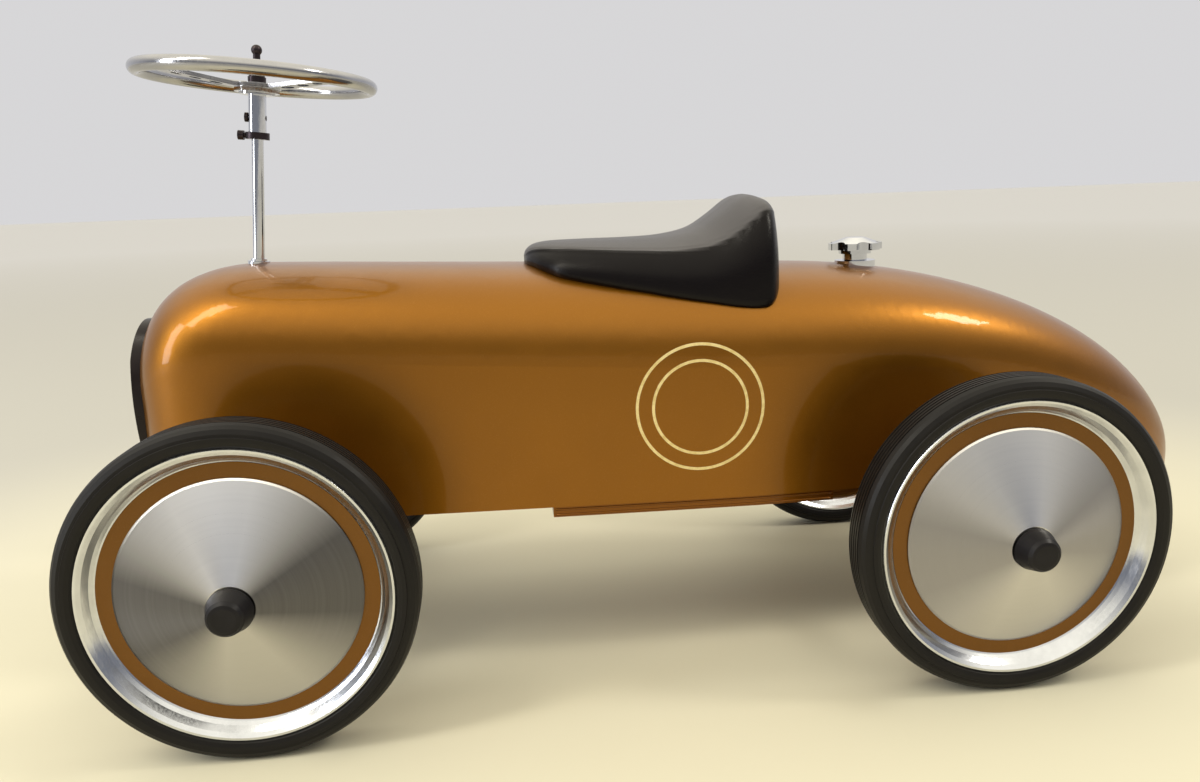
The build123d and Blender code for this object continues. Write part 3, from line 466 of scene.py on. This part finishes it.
def build_saddle():
    """The moulded saddle: crowned top, raised seam, rolled lower edge, closed underneath."""
    points, rings, panels = [], [], []
    for r in range(RINGS + 1):
        share = r / RINGS
        half = saddle_ring(share)
        left = []
        for k, (x, y, z, lift, _) in enumerate(half):
            y0, z0 = half[max(k - 1, 0)][1:3]
            y1, z1 = half[min(k + 1, len(half) - 1)][1:3]
            across, down = y1 - y0, z1 - z0
            size = max((across**2 + down**2) ** 0.5, 1e-6)
            left.append((x, y - down / size * lift, z + across / size * lift))
        ring = [(x, -y, z) for x, y, z in reversed(left[1:])] + left
        x, edge = left[-1][0], left[-1][1]
        for k in range(1, UNDER):
            y = edge * (1 - 2 * k / UNDER)
            under = body_top(x * MM, y * MM)
            floor = left[-1][2] if under is None else under / MM + SKIN_GAP
            ring.append((x, y, floor))
        rings.append([Vector(p) * MM for p in ring])
        inside = [point[4] for point in half]
        panels += list(reversed(inside[1:])) + inside + [0.0] * (UNDER - 1)
    count = len(rings[0])
    for ring in rings:
        points += ring
    faces = []
    for r in range(RINGS):
        for k in range(count):
            a, b = r * count + k, r * count + (k + 1) % count
            faces.append((a, b, b + count, a + count))
    for r, turn in ((0, 1), (RINGS, -1)):
        middle = sum(rings[r], Vector()) / count
        points.append(middle)
        for k in range(count):
            a, b = r * count + k, r * count + (k + 1) % count
            faces.append((len(points) - 1, b, a) if turn > 0 else (len(points) - 1, a, b))
    panels += [0.0, 0.0]
    made = mesh_object("saddle", points, faces, SLOT_LOOK["seat_foam"])
    # the panel attribute masks the painted sheen on the saddle's top
    made.data.attributes.new("panel", "FLOAT", "POINT").data.foreach_set("value", panels)
    return made


saddle = build_saddle()
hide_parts("seat_pad")
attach(saddle, "chassis")

# ---------------------------------------------------------------- line marking on both sides
LINE_HALF = 1.0 * MM  # half of the line's width
LINE_LIFT = 0.12 * MM  # how far the line stands off the paint
FOIL = foil("pale_gold_foil")


def marking(name, side, outline):
    """A thin line laid on the body's side along a closed run of points (x, z)."""
    points, faces = [], []
    count = len(outline)
    for i, (x, z) in enumerate(outline):
        before, after = outline[i - 1], outline[(i + 1) % count]
        along = Vector((after[0] - before[0], after[1] - before[1])).normalized()
        for turn in (1, -1):
            px = x - along.y * LINE_HALF * turn
            pz = z + along.x * LINE_HALF * turn
            hit = BODY.ray_cast(Vector((px, side * BESIDE, pz)), Vector((0, -side, 0)))
            points.append(hit[0] + Vector((0, side, 0)) * LINE_LIFT)
    for i in range(count):
        a, b = 2 * i, 2 * ((i + 1) % count)
        face = (a, b, b + 1, a + 1)
        faces.append(face if side < 0 else tuple(reversed(face)))
    made = mesh_object(name, points, faces, FOIL)
    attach(made, "chassis")
    return made


MARK_X, MARK_Z = 0.006, 0.182
MARK_RINGS = {"outer": 0.043, "inner": 0.032}
MARK_STEPS = 120
for label, side in (("left", 1), ("right", -1)):
    for ring, size in MARK_RINGS.items():
        turns = [2 * pi * k / MARK_STEPS for k in range(MARK_STEPS)]
        outline = [(MARK_X + size * cos(turn), MARK_Z + size * sin(turn)) for turn in turns]
        marking(f"side_ring_{ring}_{label}", side, outline)

# ---------------------------------------------------------------- folded beads on the tray's sides
BEAD_R = 0.75 * MM
BEAD_STEPS = 60
BEAD_AROUND = 10
BEAD_FROM_END = 1.5 * MM
BEAD_BELOW_TOP = 2.2 * MM
BEAD_ABOVE_EDGE = 1.6 * MM
TRAY = surface_tree("belly_tray")
tray_low, tray_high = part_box("belly_tray")


def tray_bead(name, side, z):
    """A thin raised bead along the tray's side, closed at both ends."""
    first, last = tray_high[0] - BEAD_FROM_END, tray_low[0] + BEAD_FROM_END
    points, faces = [], []
    for i in range(BEAD_STEPS + 1):
        x = first + (last - first) * i / BEAD_STEPS
        hit = TRAY.ray_cast(Vector((x, side * BESIDE, z)), Vector((0, -side, 0)))[0]
        for k in range(BEAD_AROUND):
            turn = 2 * pi * k / BEAD_AROUND
            points.append((x, hit.y + BEAD_R * cos(turn), z + BEAD_R * sin(turn)))
    for i in range(BEAD_STEPS):
        for k in range(BEAD_AROUND):
            a, b = i * BEAD_AROUND + k, i * BEAD_AROUND + (k + 1) % BEAD_AROUND
            faces.append((a, b, b + BEAD_AROUND, a + BEAD_AROUND))
    faces.append(tuple(reversed(range(BEAD_AROUND))))
    faces.append(tuple(range(BEAD_STEPS * BEAD_AROUND, (BEAD_STEPS + 1) * BEAD_AROUND)))
    # the beads carry the tray's painted shade
    made = mesh_object(name, points, faces, SHADED_TRAY_PAINT)
    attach(made, "chassis")


for label, side in (("left", 1), ("right", -1)):
    tray_bead(f"tray_bead_upper_{label}", side, tray_high[2] - BEAD_BELOW_TOP)
    tray_bead(f"tray_bead_lower_{label}", side, tray_low[2] + BEAD_ABOVE_EDGE)

# ---------------------------------------------------------------- stage
def floor_material():
    """A plain cream floor that softly turns pale grey away from the car."""
    s = Shader("floor_cream", FLOOR_CREAM, 0.0, 0.6, Specular_IOR_Level=0.2)
    tone = s.spread(s.noise(3.0, 3.0), 0.3, 0.7, 0.0, 1.0)
    cream = s.blend(tone, FLOOR_CREAM, tuple(c * 0.96 for c in FLOOR_CREAM))
    ends = {0: s.place, 1: CREAM_MIDDLE}
    away = s.node("ShaderNodeVectorMath", ends, operation="DISTANCE").outputs["Value"]
    grey = s.blend(s.spread(away, CREAM_ENDS, FAR, 0.0, 1.0), FLOOR_GREY, FAR_GREY)
    fade_range = {0: away, 1: CREAM_TO, 2: CREAM_ENDS}
    fade = s.node("ShaderNodeMapRange", fade_range, interpolation_type="SMOOTHSTEP")
    s.join(s.blend(fade.outputs[0], cream, grey), "Base Color")
    s.bump(s.noise(260.0, 3.0), 0.03, 0.0005)
    return s.mat


FLOOR_CREAM = (0.67, 0.635, 0.49)
FLOOR_GREY = (0.45, 0.44, 0.4)
FAR_GREY = (0.58, 0.58, 0.6)
CREAM_MIDDLE = (0.0, 0.25, 0.0)
CREAM_TO = 0.5  # the floor is cream this far from that point
CREAM_ENDS = 1.2
FAR = 7.0
FLOOR_REACH = 20.0
corners = [(-1, -1), (1, -1), (1, 1), (-1, 1)]
floor_points = [(FLOOR_REACH * x, FLOOR_REACH * y, 0) for x, y in corners]
floor = mesh_object("floor", floor_points, [(0, 1, 2, 3)], floor_material(), smooth=False)

# The room: a pale wall beyond the car, a darker side behind the camera, and a bright ceiling.
WALL = (0.68, 0.675, 0.685)
ROOM = (0.24, 0.25, 0.28)
CEILING = (1.42, 1.34, 1.12)
WALL_STARTS, WALL_FULL = 0.35, -0.55  # Y of the direction looked in
CEILING_STARTS, CEILING_FULL = 0.18, 0.78  # Z of the direction looked in

world = bpy.data.worlds.new("studio")
bpy.context.scene.world = world
world.use_nodes = True
tree = world.node_tree


def world_node(kind, settings, inputs):
    """One node of the world, with inputs that are values or other nodes' outputs."""
    made = tree.nodes.new(kind)
    for key, value in settings.items():
        setattr(made, key, value)
    for key, value in inputs.items():
        if isinstance(value, bpy.types.NodeSocket):
            tree.links.new(value, made.inputs[key])
        else:
            made.inputs[key].default_value = value
    return made


ahead_of = world_node("ShaderNodeTexCoord", {}, {}).outputs["Generated"]
toward = world_node("ShaderNodeSeparateXYZ", {}, {0: ahead_of})
smooth = {"interpolation_type": "SMOOTHSTEP"}
wall_range = {0: toward.outputs["Y"], 1: WALL_STARTS, 2: WALL_FULL, 3: 0.0, 4: 1.0}
to_wall = world_node("ShaderNodeMapRange", smooth, wall_range)
ceiling_range = {0: toward.outputs["Z"], 1: CEILING_STARTS, 2: CEILING_FULL, 3: 0.0, 4: 1.0}
to_ceiling = world_node("ShaderNodeMapRange", smooth, ceiling_range)
sides_inputs = {"Factor": to_wall.outputs[0], 6: (*ROOM, 1), 7: (*WALL, 1)}
sides = world_node("ShaderNodeMix", {"data_type": "RGBA"}, sides_inputs)
whole_inputs = {"Factor": to_ceiling.outputs[0], 6: sides.outputs[2], 7: (*CEILING, 1)}
whole = world_node("ShaderNodeMix", {"data_type": "RGBA"}, whole_inputs)
tree.links.new(whole.outputs[2], tree.nodes["Background"].inputs["Color"])


def softbox(name, at, aim, width, height, power, tone):
    """A rectangular soft light aimed at a point."""
    lamp = bpy.data.lights.new(name, "AREA")
    lamp.shape = "RECTANGLE"
    lamp.size, lamp.size_y = width, height
    lamp.energy = power
    lamp.color = tone
    made = bpy.data.objects.new(name, lamp)
    bpy.context.scene.collection.objects.link(made)
    made.location = at
    made.rotation_euler = (Vector(aim) - Vector(at)).to_track_quat("-Z", "Y").to_euler()
    return made


WARM, PALE_WARM, DAYLIGHT = (1.0, 0.94, 0.8), (1.0, 0.95, 0.84), (0.95, 0.97, 1.0)
softbox("key_lamp", (1.6, 0.8, 2.0), (0.1, 0.0, 0.2), 0.34, 1.3, power=19.0, tone=WARM)
softbox("tail_lamp", (-2.2, 0.65, 2.2), (-0.2, 0.0, 0.2), 0.5, 0.5, power=22.0, tone=PALE_WARM)
softbox("window", (2.75, 0.85, 0.95), (0.35, 0.0, 0.2), 0.5, 1.8, power=29.0, tone=DAYLIGHT)

# ---------------------------------------------------------------- camera
CAMERA_AT = (0.1355, 0.6963, 0.3289)
CAMERA_YAW = -0.10154
CAMERA_PITCH = 0.213152
CAMERA_ROLL = -0.0349124
CAMERA_LENS = 28.18
CAMERA_SENSOR = 36.0

flat_ahead = Vector((sin(CAMERA_YAW), -cos(CAMERA_YAW), 0.0))
ahead = flat_ahead * cos(CAMERA_PITCH) - Vector((0, 0, sin(CAMERA_PITCH)))
level = ahead.cross(Vector((0, 0, 1))).normalized()
upright = level.cross(ahead)
right = cos(CAMERA_ROLL) * level + sin(CAMERA_ROLL) * upright
up = cos(CAMERA_ROLL) * upright - sin(CAMERA_ROLL) * level
lens = bpy.data.cameras.new("camera")
lens.lens = CAMERA_LENS
lens.sensor_width = CAMERA_SENSOR
camera = bpy.data.objects.new("camera", lens)
bpy.context.scene.collection.objects.link(camera)
turned = Matrix((right, up, -ahead)).transposed().to_4x4()
camera.matrix_world = Matrix.Translation(CAMERA_AT) @ turned
bpy.context.scene.camera = camera
bpy.context.scene.view_settings.view_transform = "Standard"
